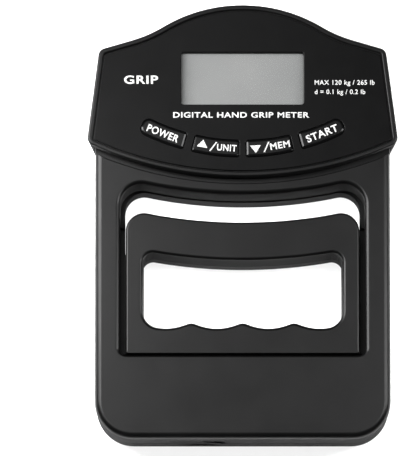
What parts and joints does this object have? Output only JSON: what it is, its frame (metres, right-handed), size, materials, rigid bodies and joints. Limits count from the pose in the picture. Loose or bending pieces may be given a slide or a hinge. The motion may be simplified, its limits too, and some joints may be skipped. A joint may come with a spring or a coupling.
{
  "type": "hand dynamometer",
  "caption": "Flat hand-grip strength meter: a black frame with a display head, and a sliding four-finger grip set by a thumbwheel and rod against a load cell.",
  "frame": {"origin": "middle of the bounding box's bottom face: the plane of the back, on the centre line, half way along", "axes": "+Z out of the face, +Y from the palm edge to the display end, +X to the right of somebody reading the display"},
  "size_m": [0.1322, 0.1881, 0.031],
  "materials": {
    "satin_black_abs": "satin, very fine spark texture",
    "gloss_black_panel": "semi-gloss with white print",
    "clear_window": "clear acrylic",
    "display_grey": "grey unlit liquid crystal",
    "white_plastic": "diffusing white",
    "circuit_board": "solder mask",
    "chip_black": "moulded epoxy",
    "steel": "zinc plated",
    "aluminium": "machined",
    "black_nylon": "satin",
    "battery_wrap": "shrink wrap",
    "cable_sheath": "matt"
  },
  "bodies": {
    "frame": {"frame_front_shell": "satin_black_abs", "frame_rear_shell": "satin_black_abs", "head_cover": "satin_black_abs", "face_panel": "gloss_black_panel", "display_window": "clear_window", "display_glass": "display_grey", "display_backlight": "white_plastic", "display_contact_strip": "cable_sheath", "main_board": "circuit_board", "charging_board": "circuit_board", "microcontroller": "chip_black", "weighing_amplifier": "chip_black", "buzzer": "chip_black", "battery_cell": "battery_wrap", "battery_lead": "cable_sheath", "charging_lead": "cable_sheath", "load_cell_cable": "cable_sheath", "charging_socket": "steel", "load_cell": "aluminium", "load_cell_anchor": "steel", "thrust_washer": "steel", "case_screw_1": "steel", "case_screw_2": "steel", "case_screw_3": "steel", "case_screw_4": "steel", "case_screw_5": "steel", "case_screw_6": "steel", "anchor_screw_1": "steel", "anchor_screw_2": "steel", "switch_power": "chip_black", "switch_up": "chip_black", "switch_down": "chip_black", "switch_start": "chip_black"},
    "grip": {"grip_front_half": "satin_black_abs", "grip_rear_half": "satin_black_abs", "grip_crossbar": "steel", "crossbar_pin": "steel", "threaded_rod": "steel", "grip_screw_1": "steel", "grip_screw_2": "steel", "grip_screw_3": "steel", "grip_screw_4": "steel"},
    "wheel": {"adjusting_wheel": "black_nylon"},
    "button_power_cap": {"button_power": "black_nylon"},
    "button_up_cap": {"button_up": "black_nylon"},
    "button_down_cap": {"button_down": "black_nylon"},
    "button_start_cap": {"button_start": "black_nylon"}
  },
  "joints": [
    {"name": "wheel_turn", "type": "hinge", "parent": "frame", "child": "wheel", "pos_m": [0, -0.06605, 0.0123], "axis": [0, -1, 0], "range_deg": [0, 1980]},
    {"name": "grip_slide", "type": "slide", "parent": "frame", "child": "grip", "axis": [0, 1, 0], "range_m": [0, 0.011]},
    {"name": "button_power_press", "type": "slide", "parent": "frame", "child": "button_power_cap", "axis": [0, 0, -1], "range_m": [0, 0.0005], "stiffness_N_per_m": 600, "springref_m": -0.0004},
    {"name": "button_up_press", "type": "slide", "parent": "frame", "child": "button_up_cap", "axis": [0, 0, -1], "range_m": [0, 0.0005], "stiffness_N_per_m": 600, "springref_m": -0.0004},
    {"name": "button_down_press", "type": "slide", "parent": "frame", "child": "button_down_cap", "axis": [0, 0, -1], "range_m": [0, 0.0005], "stiffness_N_per_m": 600, "springref_m": -0.0004},
    {"name": "button_start_press", "type": "slide", "parent": "frame", "child": "button_start_cap", "axis": [0, 0, -1], "range_m": [0, 0.0005], "stiffness_N_per_m": 600, "springref_m": -0.0004}
  ],
  "couplings": [
    {"joint": "wheel_turn", "follows": "grip_slide", "rad_per_m": 3141.6}
  ]
}
